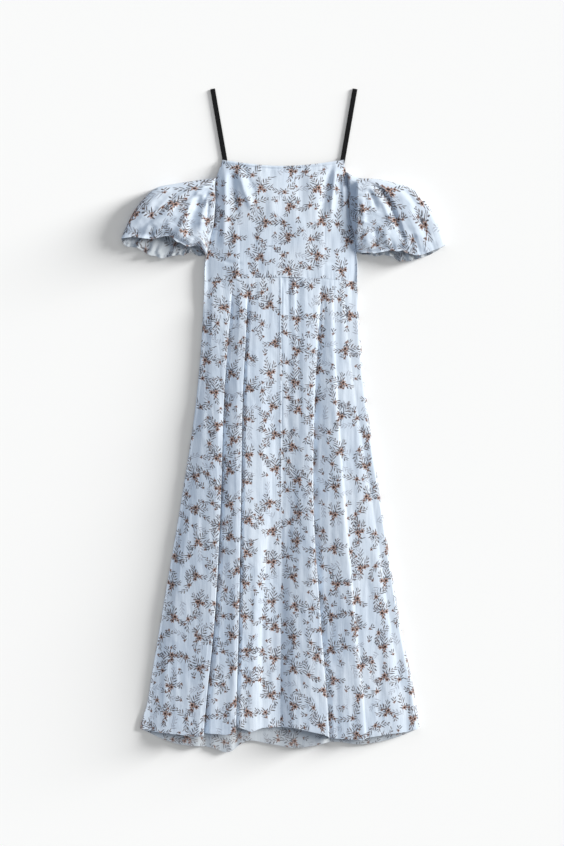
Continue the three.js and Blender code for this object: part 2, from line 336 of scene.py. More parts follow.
def squares(u, v, width, height, seed, stray, swing):
    """A lattice of squares, each column half a square lower than the last: coordinates from the
    middle of each square, shifted, mirrored and turned at random, and its random numbers."""
    column = (u / width).floor()
    dropped = v / height + column * 0.5
    row = dropped.floor()
    place = u.node("ShaderNodeCombineXYZ", None, {0: column, 1: row, 2: float(seed)})
    settings = {"noise_dimensions": "3D"}
    dice = u.node("ShaderNodeTexWhiteNoise", settings, {0: place}, output=1).split()
    x = ((u / width).fract() - 0.5) * width + (dice[0] - 0.5) * stray
    y = (dropped - row - 0.5) * height + (dice[1] - 0.5) * stray
    x = x * ((dice[0] * 7.0).fract().over(0.5) * 2.0 - 1.0)
    x, y = turned(x, y, (dice[2] - 0.5) * swing)
    return x, y, dice


def spray(x, y, leaves, reach, gap=8.0, lean=1.05, bend=0.008):
    """A curved stem along y with slim leaves on both sides. The side distance is folded to one
    side, and the leaves are rungs of one ladder that leans up along the stem. Each leaf's half
    width goes as 4q(1 - q) with its share q of the way out. Leaves shorten up the stem, and a
    sine of the rung's number makes them uneven."""
    x = x + y * y * bend
    side = abs(x)
    right = (x * 4.0).between(-0.5, 0.5)
    ladder = (y - side * lean) / gap + right * 0.5
    rung = ladder.floor()
    uneven = (rung * 2.4 + right * 4.0 + leaves).sine() * 0.3
    off_axis = abs(ladder - rung - 0.5) * float(gap / np.hypot(1, lean))
    share = rung * (1.0 / leaves)
    here = share.between(-0.04, -0.01) * (1.0 - share.between(0.99, 1.0))
    out = (side - 0.3) / (reach * (0.92 + uneven - share * 0.45))
    half_width = (out * (1.0 - out)).most(0.0) * (4 * LEAF_HALF_WIDTH)
    leaf = (half_width - off_axis).between(0.0, 0.3) * here
    tip = leaves * gap
    on_stem = y.between(-2.0, 0.0) * (1.0 - y.between(tip - 1.0, tip + 1.0))
    stem = (STEM_HALF_WIDTH - side).between(-0.2, 0.2) * on_stem
    return leaf, stem


def blossom(x, y, radius, petals=5.0):
    """A round of petals: how far out the edge lies goes up and down with the angle. Returns
    the whole flower, its drawn lines, which are the rim and the petals' rays, and its heart."""
    reach = (x * x + y * y).root()
    lobes = (y.math("ARCTAN2", y, x) * petals).cosine()
    edge = radius * 0.76 + lobes * (radius * 0.24)
    flower = (edge - reach).between(-0.2, 0.3)
    rim = 1.0 - (edge - reach).between(0.4, 1.0)
    rays = lobes.between(0.7, 0.97) * (radius * 0.7 - reach).between(0.0, 0.5)
    heart = (radius * 0.44 - reach).between(-0.2, 0.3)
    return flower, rim.most(rays) * flower, heart


def print_masks(u, v):
    """Where the cloth is printed with leaves, stems, petals, their lines, dark hearts and faint
    sprays, each from 0 to 1."""
    leaves, stems, petals, lines, hearts = [], [], [], [], []

    def add_spray(x, y, angle, *size, presence=1.0, **shape):
        leaf, stem = spray(*turned(x, y, angle), *size, **shape)
        leaves.append(leaf * presence)
        stems.append(stem * presence)

    def add_blossom(x, y, radius, count=5.0, presence=1.0):
        flower, line, heart = blossom(x, y, radius, count)
        petals.append(flower * presence)
        lines.append(line * presence)
        hearts.append(heart * presence)

    x, y, _ = squares(u, v, 56.0, 66.0, 3, 14.0, 2.4)
    add_blossom(x - 2.5, y - 3.0, 6.0)
    add_blossom(x + 6.0, y + 2.5, 5.0)
    add_blossom(x - 5.5, y + 5.5, 3.9, 4.0)
    add_spray(x - 1.0, y + 1.0, 0.3, 5.0, 8.6, gap=6.8)
    add_spray(x - 4.0, y - 2.0, 1.7, 4.0, 7.8, bend=-0.014, gap=6.6)
    add_spray(x + 6.0, y, -1.0, 4.0, 8.0, bend=0.016, gap=6.4)
    add_spray(x, y - 5.0, 3.4, 4.0, 7.6, bend=0.016, gap=6.4)

    x, y, dice = squares(u + 20.0, v + 33.0, 56.0, 66.0, 7, 16.0, 2.8)
    here = dice[0].over(0.1)
    add_blossom(x, y - 1.0, 5.0, presence=here)
    add_spray(x, y + 1.0, 0.1, 5.0, 8.2, presence=here, gap=6.8)
    add_spray(x, y - 3.0, 2.9, 4.0, 7.6, presence=here, bend=-0.016, gap=6.4)

    x, y, dice = squares(u + 9.0, v + 5.0, 27.0, 31.0, 11, 12.0, 6.28)
    here = dice[1].over(0.4)
    add_blossom(x, y, 3.2, 4.0, presence=here)
    add_spray(x, y + 1.0, 0.0, 2.0, 5.6, presence=here, gap=6.0)

    x, y, _ = squares(u + 14.0, v + 49.0, 43.0, 47.0, 19, 15.0, 6.28)
    faint_leaf, faint_stem = spray(x, y + 10.0, 4.0, 8.0, gap=6.6, bend=0.014)
    groups = (leaves, stems, petals, lines, hearts)
    masks = [functools.reduce(Shade.most, group) for group in groups]
    return [*masks, faint_leaf.most(faint_stem)]


# %% [markdown]
# ## Three finishes
# The right side of the cloth carries the full print. The wrong side is the same cloth turned
# over: the print has soaked through a little weaker, and its ground is painted a darker grey,
# as painted shade for where it shows, under the skirt front's hem and inside the cuffs. The weave
# is finer than a picture of the whole dress can show, so it is only a shallow bump for close
# views. The straps are black woven elastic, whose ribs are modelled, so that finish is mostly a
# soft sheen.

# %% Finish of the cloth
GROUND = rgba(0.635, 0.70, 0.78)
GROUND_DEEP = rgba(0.585, 0.66, 0.755)
# The wrong side's ground is darker and greyer than the right side's: painted shade for where the
# wrong side shows, under the skirt front's hem and inside the cuffs.
WRONG_SIDE_GROUND_WITH_PAINTED_SHADE = rgba(0.48, 0.515, 0.55)
LEAF = rgba(0.045, 0.042, 0.052)
LEAF_PALE = rgba(0.12, 0.085, 0.075)
LEAF_FAINT = rgba(0.20, 0.20, 0.24)
STEM = rgba(0.20, 0.15, 0.14)
PETAL = rgba(0.59, 0.40, 0.33)
PETAL_LINE = rgba(0.19, 0.075, 0.05)
PETAL_LINE_DARK = rgba(0.06, 0.025, 0.022)
HEART = rgba(0.02, 0.008, 0.007)
THREAD = 0.42


def cloth_material(name, ground, ground_deep, strength):
    """Woven cloth with the print over it, one ink after another: each covers what lies under
    it by its own share, times its mask and strength, the share of the print that shows."""
    material, shader, start = new_material(name)
    chart = start.node("ShaderNodeUVMap", {"uv_map": "chart"})
    u, v, _ = chart.split()
    u, v = u * 1000.0, v * 1000.0
    soft = chart.noise(9.0)
    tiny = chart.noise(120.0)
    uneven_u = u + (tiny - 0.5) * 1.6
    uneven_v = v + (soft - 0.5) * 6.0
    leaf, stem, petal, line, heart, faint = print_masks(uneven_u, uneven_v)
    colour = soft.between(0.35, 0.65).colour(ground, ground_deep)
    leaf_tone = tiny.between(0.42, 0.62).colour(LEAF, LEAF_PALE)
    line_tone = soft.between(0.42, 0.58).colour(PETAL_LINE, PETAL_LINE_DARK)
    inks = [
        (faint, 0.5, LEAF_FAINT), (stem, 0.7, STEM), (leaf, 0.92, leaf_tone),
        (petal, 0.85, PETAL), (line, 0.85, line_tone), (heart, 0.95, HEART),
    ]
    for mask, cover, ink in inks:
        colour = (mask * (cover * strength)).colour(colour, ink)
    turns = 6.2832 / THREAD
    weave = (u * turns).sine() * (v * turns).sine()
    crumple = chart.noise(90.0)
    drawn_out = start.node("ShaderNodeCombineXYZ", None, {0: u * 0.17, 1: v * 0.014})
    crinkle = drawn_out.noise(1.0)
    height = weave * 0.05 + crumple * 0.4 + crinkle * 1.3
    bump_inputs = {"Strength": 0.35, "Distance": 0.0012, "Height": height}
    normal = start.node("ShaderNodeBump", None, bump_inputs)
    tree = material.node_tree
    tree.links.new(colour.socket, shader.inputs["Base Color"])
    tree.links.new(normal.socket, shader.inputs["Normal"])
    shader.inputs["Roughness"].default_value = 0.82
    shader.inputs["Specular IOR Level"].default_value = 0.25
    shader.inputs["Sheen Weight"].default_value = 0.12
    shader.inputs["Sheen Roughness"].default_value = 0.5
    print(f"{name}: {len(tree.nodes)} nodes")
    return material


right_side = cloth_material("printed_cloth", GROUND, GROUND_DEEP, 1.0)
# The wrong side: its weaker print is the cloth's own, and its darkened ground is painted shade.
wrong_side = cloth_material("wrong_side_with_painted_shade", WRONG_SIDE_GROUND_WITH_PAINTED_SHADE, WRONG_SIDE_GROUND_WITH_PAINTED_SHADE, 0.8)
CLOTH = [right_side, wrong_side]

# %% Finish of the straps
strap_black, strap_shader, strap_start = new_material("black_elastic")
strap_place = strap_start.node("ShaderNodeUVMap", {"uv_map": "chart"})
strap_fleck = strap_place.noise(900.0).between(0.4, 0.7)
STRAP_DEEP = rgba(0.002, 0.002, 0.002)
STRAP_PALE = rgba(0.012, 0.012, 0.013)
strap_colour = strap_fleck.colour(STRAP_DEEP, STRAP_PALE)
strap_black.node_tree.links.new(strap_colour.socket, strap_shader.inputs["Base Color"])
strap_shader.inputs["Roughness"].default_value = 0.6
strap_shader.inputs["Specular IOR Level"].default_value = 0.15
print(f"{strap_black.name}: {len(strap_black.node_tree.nodes)} nodes")

# %% [markdown]
# ## The bodice
# The bodice front is one panel, shaped by a dart on each side of the waist. Laid down, it keeps
# a low crown over the air inside, and falls steeply at its side edges. Its shape is a table of
# rows from the top edge to the waist. The creases beside the armholes are placed one by one.

# %% Sizes of the bodice
# Millimetres from here on. LYING is how high the front lies where it rests on the back.
LYING = 3.3
BODICE_TOP = 533.0
BODICE_HEIGHT = 250.0
BODICE = {
    "left": [-125, -138, -138, -141, -150, -160, -161.5],
    "right": [124, 131, 134, 137, 146, 151, 151],
    "edge": [7, 9, 10, 9, 6, LYING, LYING],
    "middle": [13, 20, 25, 24, 21, 19, 17],
}
BODICE_CROWN = 4.0
TOP_DIP = 13.0
BACK_NECK_DROP = 8.0
WAIST_RISE = 9.0
SIDE_SEAM = {"armhole": 5.0, "waist": 8.0}
ROLL = 9.0


def bodice(column, down):
    """One column of the bodice's table, read from its top edge at 0 to its waist at 1."""
    return through(BODICE[column], down)


def waistline(x):
    """The waist seam's height up the dress: a shallow arch, highest in the middle."""
    return BODICE_TOP - BODICE_HEIGHT + WAIST_RISE * (1 - (x / BODICE["right"][-1]) ** 2)


def crown(x, down, power):
    """1 in the middle of the bodice and 0 at its sides: 1 - |r|^power, where r goes from -1 at
    the left side to 1 at the right one."""
    left, right = bodice("left", down), bodice("right", down)
    reach = np.abs((2 * x - left - right) / (right - left))
    return 1 - np.minimum(1, reach) ** power


def front_height(x, down):
    """The crown over the air inside: flat in the middle and steep near the side edges."""
    return lerp(bodice("edge", down), bodice("middle", down), crown(x, down, BODICE_CROWN))


def seam_height(down):
    """How high the side edges of the bodice lie: low at the armholes, where the sleeves start."""
    return lerp(SIDE_SEAM["armhole"], SIDE_SEAM["waist"], ease(down, 0.55, 0.9))


def rolled_edge(z, x, down):
    """Brings the panel down to its side seams in a round roll, a quarter turn wide as ROLL."""
    inside = np.minimum(x - bodice("left", down), bodice("right", down) - x)
    turn = np.sin(np.pi / 2 * np.clip(inside / ROLL, 0, 1)) ** 0.7
    return lerp(seam_height(down), z, turn)


def crease(x, y, line, left, right, height):
    """A ridge, or a trough where height is negative, along a smooth line of points. It falls
    off as a bell, with a width of its own on each side, and fades out at both ends."""
    path = through(line, np.linspace(0, 1, 25))
    steps = np.diff(path, axis=0)
    best = np.full(x.shape, 1e9)
    aside = np.zeros(x.shape)
    along = np.zeros(x.shape)
    for i, (start, step) in enumerate(zip(path[:-1], steps)):
        t = ((x - start[0]) * step[0] + (y - start[1]) * step[1]) / (step @ step)
        t = np.clip(t, -0.5 if i == 0 else 0, 1.5 if i == len(steps) - 1 else 1)
        dx, dy = x - start[0] - t * step[0], y - start[1] - t * step[1]
        distance = np.hypot(dx, dy)
        nearer = distance < best
        best = np.where(nearer, distance, best)
        side = np.sign(dx * step[1] - dy * step[0])
        aside = np.where(nearer, side * distance, aside)
        along = np.where(nearer, (i + t) / len(steps), along)
    width = np.where(aside < 0, left, right)
    ends = ease(along, -0.02, 0.3) * (1 - ease(along, 0.7, 1.02))
    return height * ends * np.exp(-((aside / width) ** 2))


# %% Creases of the bodice
# Each is a line from its upper end to its lower end, its widths to both sides, and its height.
BODICE_CREASES = [
    ([(-119, 525), (-120, 440), (-122, 345)], 7, 7, 5.0),
    ([(-104, 510), (-101, 470), (-98, 420)], 6, 6, -4.5),
    ([(-93, 515), (-80, 470), (-62, 425)], 8, 6, 4.0),
    ([(-84, 524), (-70, 490), (-56, 462)], 5, 5, -1.6),
    ([(101, 528), (88, 470), (74, 400)], 7, 7, -4.5),
    ([(106, 515), (102, 470), (97, 415)], 6, 5, 4.5),
    ([(124, 508), (125, 460), (127, 400)], 5, 6, 4.0),
    ([(116, 500), (117, 465), (118, 425)], 4, 4, -2.5),
    ([(-128, 430), (-132, 390), (-140, 350)], 4, 4, -2.0),
    ([(-30, 500), (-22, 450), (-18, 400)], 14, 14, 1.6),
    ([(34, 505), (40, 450), (38, 400)], 15, 15, -1.6),
    ([(-140, 335), (-110, 322), (-80, 318)], 4, 5, -1.3),
    ([(138, 338), (112, 324), (88, 320)], 4, 5, -1.3),
]
DARTS = [(-89, 412), (85, 412)]

# %% The bodice's two panels


def bodice_relief(x, y, down):
    """What lies on the bodice's crown: creases, the two darts and the small unevenness of soft
    cloth.
    The casing along the top edge and the dip at the waist seam are added by bodice_front."""
    relief = sum(crease(x, y, *one) for one in BODICE_CREASES)
    relief = 1.15 * relief + 1.5 * noise(x / 30, y / 60, 21) + 0.8 * noise(x / 12, y / 40, 22)
    for dart_x, dart_top in DARTS:
        fade = ease(dart_top - y, 0, 40)
        relief = relief - fade * (0.7 * bump(x, dart_x, 1.6) - 1.0 * bump(x, dart_x - 8, 8))
    return relief * ease(down, 0, 0.06) * crown(x, down, 14)


def bodice_front():
    """The front panel: rows from the top edge to the waist, each from the left side to the
    right one. Its height is the crown, rolled down at both sides, plus the relief."""
    down, across = np.mgrid[0:1:151j, 0:1:181j]
    x = lerp(bodice("left", down), bodice("right", down), across)
    y = lerp(BODICE_TOP - TOP_DIP * np.sin(np.pi * across), waistline(x), down)
    z = rolled_edge(front_height(x, down), x, down)
    chart = chart_of(np.stack([x, y, z], axis=-1) * MM, shift=(0.4, 1.9))
    z = z + bodice_relief(x, y, down)
    from_top = down * BODICE_HEIGHT
    z = z + 0.8 * bump(from_top, 3.2, 2.2) - 0.9 * bump(from_top, 7.0, 1.3)
    z = z - 1.2 * bump(from_top, 0, 1.2)
    to_waist = (1 - down) * BODICE_HEIGHT
    z = z - 0.15 * bump(to_waist, 0, 2.5)
    pucker = noise(x / 3.2, y / 30, 23) * bump(to_waist, 0, 14) * 0.5
    z = z + pucker + noise(x / 4, y / 40, 24) * bump(from_top, 8, 9) * 0.45
    points = np.stack([x, y, np.maximum(z, LYING - 1.0)], axis=-1) * MM
    piece = make_surface("bodice_front_cloth", points, chart)
    sew(piece, chart, "bodice_front", CLOTH)


def under_roll(height, inside):
    """The lower half of a side roll: the height at the seam, and level cloth a roll's width in."""
    turn = 1 - np.clip(inside / ROLL, 0, 1)
    return height * (1 - np.sqrt(1 - turn**2))


def bodice_back():
    """The back lies flat, with its right side down, so its faces are turned over and the sheet
    is made upwards from the table."""
    down, turn = np.mgrid[0:1:61j, 0:1:101j]
    across = (1 + np.cos(np.pi * turn)) / 2
    x = lerp(bodice("left", down), bodice("right", down), across)
    dip = TOP_DIP * np.sin(np.pi * across) + BACK_NECK_DROP
    y = lerp(BODICE_TOP - dip, waistline(x), down)
    inside = np.minimum(x - bodice("left", down), bodice("right", down) - x)
    z = under_roll(seam_height(down), inside) + 0.25 + 0.25 * noise(x / 30, y / 45, 31)
    points = np.stack([x, y, z], axis=-1) * MM
    chart = chart_of(points, shift=(1.4, 1.9))
    piece = make_surface("bodice_back_cloth", points, chart)
    sew(piece, chart, "bodice_back", CLOTH)


bodice_front()
bodice_back()

# %% [markdown]
# ## The skirt
# The skirt front is two panels that meet in a seam down the middle. It flares, so its spare
# width falls into long folds. Each fold line is a row: where it runs, how high it stands, and
# where it meets the hem. From a ridge the cloth drops as a power of the share of the way to the
# next line, so it is round on the ridge and steepens into the valley: sharp is the power on the
# valley's left, and rise on its right. Where a ridge rolls over its valley, the slope is pushed
# sideways past the upright by the share in roll, as real cloth does, which a plain height map
# can't show.

# %% Sizes of the skirt


def fold_line(x, high, hem, rise=None, sharp=1.8, roll=0.0):
    """One fold line: where it runs across, and how high it stands, at five even steps from the
    waist to the hem, where it meets the hem, and the cloth's curves beside it."""
    rise = sharp if rise is None else rise
    return {"x": x, "high": high, "hem": hem, "rise": rise, "sharp": sharp, "roll": roll}


SEAM_LINE = fold_line([-5, -4, -4, -5, -6], [17, 15, 13.5, 12, 10.5], -628, rise=1.1)
SKIRT_LEFT = [
    fold_line([-161.5, -177, -211, -250, -283], [6, 5, 4.5, 4, 4], -632, rise=2.2),
    fold_line([-154, -172, -207, -247, -277], [8.5, 7, 5.5, 4.6, 4.4], -636, rise=1),
    fold_line([-142, -157, -189, -227, -248], [12, 14, 14.5, 14.5, 13], -640, rise=1),
    fold_line([-113, -129, -138, -151, -173], [15, 21, 28, 34, 30], -647, roll=0.5),
    fold_line([-104, -121, -128.5, -141, -163], [7, 5, 3.5, 3, 3], -641, rise=1.6, sharp=6),
    fold_line([-95, -111, -118, -128, -149], [14, 16, 19, 21, 18], -641, rise=1.1),
    fold_line([-87, -95, -96, -99, -107], [17, 22, 27, 29, 25], -644, roll=0.5),
    fold_line([-71, -83, -87, -91, -97], [9, 4, 3.5, 3.5, 3.5], -630, rise=1.6, sharp=5),
    fold_line([-62, -74, -78.5, -82, -88], [14.5, 15, 16.5, 16, 14], -630, rise=1.2),
    fold_line([-44, -47, -50, -60, -65], [17, 17.5, 18, 18.5, 17], -638, roll=0.3),
    fold_line([-12, -14, -24, -42, -43], [16.5, 15, 14, 13, 12.5], -630, rise=0.8, sharp=1.6),
    SEAM_LINE,
]
SKIRT_RIGHT = [
    SEAM_LINE,
    fold_line([5.5, 9.5, 13, 20, 20], [16.5, 15.5, 17, 24.5, 23], -629, rise=1.3),
    fold_line([50, 47, 52, 66, 83], [17, 22, 28, 34, 31], -642, roll=0.4),
    fold_line([78, 65, 62, 77, 94], [12, 7, 4, 3, 3], -652, rise=1.3, sharp=5),
    fold_line([86, 77, 75, 90, 107], [14, 13.5, 13, 12.5, 11], -652, rise=1.2),
    fold_line([94, 103, 120.5, 141, 163], [16, 20, 23, 24, 20], -655),
    fold_line([103, 111, 128.5, 149, 170], [14, 16.5, 19.5, 21, 17.5], -650, rise=2, sharp=3),
    fold_line([112, 135, 169, 204, 220], [14.5, 17, 20, 21, 17.5], -642),
    fold_line([122, 147, 184, 218, 252], [12.5, 14.5, 17, 17.5, 14], -638, rise=2, sharp=2.4),
    fold_line([140, 160, 196, 231, 267], [12, 15, 17.5, 17.5, 14], -634),
    fold_line([151, 169.5, 202, 238, 279], [8, 8, 8, 7, 6], -631, sharp=3),
]
SKIRT_LENGTH = 915.0
GATHER_REACH = 0.08
CORNER_FLARE = 10.0
FLARE_START = 0.93
LOWEST_FRONT = 2.4

# %% The skirt's folds


def fold_lines(lines, down):
    """The place, the height up the dress and the height off the table of every fold line, each
    as an array with a row for each step down the skirt and a column for each line."""
    x = np.stack([through(line["x"], down) for line in lines], axis=-1)
    if lines is SKIRT_LEFT:
        x[:, 0] -= CORNER_FLARE * ease(down, FLARE_START, 1)
    high = np.stack([through(line["high"], down) for line in lines], axis=-1)
    gathered = rolled_edge(front_height(x, np.ones_like(x)), x, np.ones_like(x))
    high = lerp(gathered, high, ease(down, 0, GATHER_REACH)[:, None])
    hem = np.array([line["hem"] for line in lines], float)
    y = lerp(waistline(x), hem, down[:, None])
    return x, y, high


def skirt_form(lines, rows, columns):
    """The folded panel without its fine detail. A column's place among the fold lines is a whole
    number on a line and a fraction between two. Columns are shared out by cloth length."""
    down = np.linspace(0, 1, rows + 1)
    x, y, high = fold_lines(lines, down)
    middle = rows * 2 // 3
    spans = np.hypot(np.diff(x[middle]), 1.2 * np.diff(high[middle])) + 4
    reach = np.concatenate([[0], np.cumsum(spans)])
    place = np.interp(np.linspace(0, reach[-1], columns + 1), reach, np.arange(len(lines)))
    first = np.minimum(place.astype(int), len(lines) - 2)
    part = (place - first)[None, :]
    falling = high[:, first] > high[:, first + 1]
    low = np.minimum(high[:, first], high[:, first + 1])
    tall = np.maximum(high[:, first], high[:, first + 1])
    sharp = np.array([line["sharp"] for line in lines])
    rise = np.array([line["rise"] for line in lines])
    roll = np.array([line["roll"] for line in lines])
    power = np.where(falling, sharp[first + 1], rise[first])
    z = tall - (tall - low) * np.where(falling, part, 1 - part) ** power
    drop = np.abs(high[:, first] - high[:, first + 1])
    pushed = roll[first] * np.sin(np.pi * part) ** 2 * ease(drop, 4, 14)
    px = lerp(x[:, first], x[:, first + 1], part + pushed)
    py = lerp(y[:, first], y[:, first + 1], part)
    ends = lerp(waistline(x[:, first]), waistline(x[:, first + 1]), part)
    py = py + (waistline(px) - ends) * (1 - down[:, None])
    return np.broadcast_to(down[:, None], px.shape), px, py, z


# %% The skirt's two front panels


def skirt_relief(x, y, down):
    """Soft unevenness, drawn out along the folds, the gathers under the waist seam, the dip at
    the seams, and the turned hem."""
    relief = 1.1 * noise(x / 24, y / 170, 41) + 0.8 * noise(x / 11, y / 75, 42)
    relief = relief + 0.35 * noise(x / 9 + y / 30, y / 22, 43)
    below = down * SKIRT_LENGTH
    gathers = bump(x, 17, 22) + 0.35
    relief = relief + 2.2 * gathers * noise(x / 5.5, y / 80, 44) * np.exp(-below / 70)
    relief = relief * (1 - bump(below, 0, 6)) - 0.15 * bump(below, 0, 2.5)
    from_seam = x - through(SEAM_LINE["x"], down)
    relief = relief * (1 - bump(from_seam, 0, 2)) + 0.9 * bump(from_seam, -1, 1.8)
    relief = relief + 0.35 * noise(y / 7, x / 40, 45) * bump(from_seam, 0, 7)
    to_hem = SKIRT_LENGTH - below
    return relief - 0.35 * bump(to_hem, 11, 1.2) + 0.3 * bump(to_hem, 3, 3)


def skirt_front(name, node, lines, rows, columns, seam_column, shift):
    """One front panel: its folds, plus the relief where the cloth stands clear of the back."""
    down, x, y, z = skirt_form(lines, rows, columns)
    chart = chart_of(np.stack([x, y, z], axis=-1) * MM, origin=seam_column, shift=shift)
    clear = ease(z, 6, 11)
    z = z + skirt_relief(x, y, down) * clear
    points = np.stack([x, y, np.maximum(z, LOWEST_FRONT)], axis=-1) * MM
    piece = make_surface(name, points, chart)
    sew(piece, chart, node, CLOTH)


skirt_front("skirt_left_cloth", "skirt_front_left", SKIRT_LEFT, 300, 140, 1, (0.55, 0.0))
skirt_front("skirt_right_cloth", "skirt_front_right", SKIRT_RIGHT, 300, 140, 0, (2.35, 0.05))

# %% [markdown]
# ## The back of the skirt
# The back panel lies on the table with its right side down. Only its hem shows, below the
# front's, and there we look at the wrong side of the cloth. Its hem follows the folds that the
# front presses into it, so it lifts a little under each ridge.

# %% Skirt back
BACK_HEM = [
    (-293, -632), (-245, -654), (-205, -665), (-150, -670), (-112, -680), (-75, -657), (-30, -663),
    (20, -671), (60, -667), (105, -659), (160, -664), (225, -652), (279, -631),
]


def skirt_back():
    """The back panel, its faces turned over as the bodice back's are. Its height is the lift
    under each ridge and a soft wave at the hem, and its sides rise to the front's edges."""
    rows, columns = 150, 150
    down, turn = np.mgrid[0 : 1 : (rows + 1) * 1j, 0 : 1 : (columns + 1) * 1j]
    across = lerp(1 - turn, (1 + np.cos(np.pi * turn)) / 2, 0.8)
    low = through(BACK_HEM, across)
    left = through(SKIRT_LEFT[0]["x"], down) - CORNER_FLARE * ease(down, FLARE_START, 1)
    x = lerp(left, through(SKIRT_RIGHT[-1]["x"], down), across)
    straight = lerp(BACK_HEM[0][0], BACK_HEM[-1][0], across)
    x = x + (low[..., 0] - straight) * down
    y = lerp(waistline(x), low[..., 1], down)
    steps = down[:, 0]
    line_x, _, line_high = fold_lines(SKIRT_LEFT + SKIRT_RIGHT[1:], steps)
    above = np.stack([np.interp(x[i], line_x[i], line_high[i]) for i in range(len(steps))])
    lift = ease(down, 0.8, 1) * np.clip(above - 6, 0, 30)
    z = 0.3 + 0.28 * lift + ease(down, 0.9, 1) * (0.9 + 0.9 * noise(x / 16, y / 60, 51))
    z = z + 0.25 * (1 + noise(x / 30, y / 60, 52))
    inside = np.minimum(x - x[:, -1:], x[:, :1] - x)
    side_seam = np.where(across < 0.5, line_high[:, :1], line_high[:, -1:])
    z = np.maximum(z, under_roll(side_seam, inside))
    points = np.stack([x, y, z], axis=-1) * MM
    chart = chart_of(points, shift=(3.1, 0.02))
    piece = make_surface("skirt_back_cloth", points, chart)
    sew(piece, chart, "skirt_back", CLOTH)


skirt_back()

# %% [markdown]
# ## The sleeves
# Each sleeve is a short tube, gathered at the armhole and by elastic at the cuff, and flattened
# on the table. Seen from above, four curves frame it: armhole, outer fold, hem and underarm. A
# smooth patch fills the frame, once for the upper layer and once for the lower one. Round the
# tube an angle goes from the outer fold over the top to the underarm and back below, and the
# upper layer's height over the patch follows a power of the angle's sine, so both edges are
# round. The table's puff says how high the layer stands along the sleeve, rise says in what
# share of the length it climbs there from the armhole, and print says where it was cut from the
# printed cloth. A frill of the lower layer curls up inside the cuff.

# %% Sizes of the sleeves
# Each crease is a line, its widths to both sides, and its height, as on the bodice.
SLEEVES = {
    "left": {
        "armhole": (496, 363),
        "underarm": 338,
        "fold": [(-181, 490), (-224, 483), (-262, 474), (-292, 446), (-314, 412), (-332, 371)],
        "cuff": [
            (-308, 374), (-284, 370), (-260, 371), (-236, 375), (-212, 363), (-196, 355),
            (-176, 356),
        ],
        "under": [
            (-322, 356), (-300, 352), (-277, 340), (-254, 334), (-232, 334), (-210, 337),
            (-192, 343), (-173, 336),
        ],
        "puff": [22, 26, 29, 32, 34, 32, 23],
        "rise": 0.025,
        "print": (4.2, 0.3),
        "creases": [
            ([(-168, 460), (-178, 436), (-189, 406), (-197, 366)], 14, 6, -17),
            ([(-158, 461), (-165, 426), (-171, 379)], 6, 6, 5),
            ([(-184, 452), (-200, 412), (-216, 375)], 7, 6, 6),
            ([(-176, 466), (-203, 448), (-228, 428)], 4, 5, -6),
            ([(-158, 489), (-208, 455), (-248, 410), (-292, 384)], 6, 8, 5),
            ([(-170, 486), (-222, 458), (-262, 415), (-300, 384)], 4, 4, -3.5),
            ([(-150, 470), (-160, 452), (-164, 430)], 3, 4, -5),
            ([(-262, 476), (-290, 440), (-312, 395)], 10, 8, -4),
            ([(-205, 484), (-246, 455), (-272, 420), (-290, 392)], 7, 7, -3.5),
            ([(-152, 451), (-154, 430), (-156, 406)], 3, 3, -4),
            ([(-242, 396), (-222, 385), (-204, 376)], 9, 9, 5),
            ([(-262, 398), (-270, 385), (-276, 370)], 6, 6, -5),
            ([(-150, 488), (-168, 470), (-182, 458)], 4, 4, 4),
            ([(-158, 378), (-150, 388), (-144, 398)], 4, 3, -5),
        ],
    },
    "right": {
        "armhole": (508, 366),
        "underarm": 344,
        "fold": [
            (151, 496), (192, 493), (233, 484), (268, 471), (295, 441), (315, 405), (332, 358),
        ],
        "cuff": [(310, 348), (286, 338), (262, 338), (236, 346), (210, 345), (180, 341)],
        "under": [(300, 338), (272, 329), (245, 326), (220, 334), (190, 337), (165, 339)],
        "puff": [31, 34, 35, 34, 32, 28, 20],
        "rise": 0.05,
        "print": (5.3, 0.3),
        "creases": [
            (
                [(169, 486), (198, 471), (216, 448), (228, 422), (240, 390), (252, 356)],
                3, 10, -12,
            ),
            ([(163, 482), (188, 464), (204, 440), (216, 415), (228, 380)], 9, 6, 5),
            ([(226, 482), (249, 451), (268, 410), (278, 372)], 12, 16, 3.5),
            ([(172, 472), (184, 451), (192, 426)], 4, 5, -6),
            ([(160, 462), (163, 430), (165, 395)], 5, 7, 4),
            ([(270, 380), (265, 368), (260, 356)], 5, 5, -5),
            ([(168, 394), (170, 372), (172, 350)], 7, 7, 4),
            ([(186, 394), (189, 372), (191, 350)], 5, 5, -5),
            ([(208, 394), (211, 372), (213, 350)], 8, 8, 5),
            ([(262, 440), (284, 400), (292, 370)], 9, 9, -5),
            ([(285, 452), (308, 410), (322, 375)], 7, 8, 4),
            ([(240, 476), (262, 452), (276, 430)], 5, 6, -4),
        ],
    },
}
PUFF_PLACES = [0, 0.15, 0.3, 0.46, 0.64, 0.8, 1]
ARMHOLE_HEIGHT = 5.0
SLEEVE_CLEAR = 0.6
SLEEVE_FLOOR = 0.7
EDGE_GAP = 2.4
PUFF_BASE = 2.7
# How deep the waves of each layer's hem are, and the seed of their noise.
HEM_WAVES = {"cuff": (3.5, 61), "under": (4.5, 62)}
# The right sleeve is pressed down beside the bodice, under its overhanging side.
POCKET = {"wall": 149.5, "top": 490.0, "height": 4.5}

# %% The sleeves


def side_edge(side, y):
    """Where the side of the bodice lies at a height y up the dress."""
    return bodice(side, np.clip((BODICE_TOP - y) / BODICE_HEIGHT, 0, 1))


def patch_in(armhole, fold, hem, underarm, across, along):
    """The smooth patch inside four curves: the blend between two opposite curves, plus the
    blend between the other two, less the blend of the four corners, which both include."""
    a, b = across[..., None], along[..., None]
    zero, one = np.zeros_like(across), np.ones_like(across)
    sides = lerp(fold(along), underarm(along), a)
    ends = lerp(armhole(across), hem(across), b)
    upper = lerp(fold(zero), underarm(zero), a)
    lower = lerp(fold(one), underarm(one), a)
    return sides + ends - lerp(upper, lower, b)


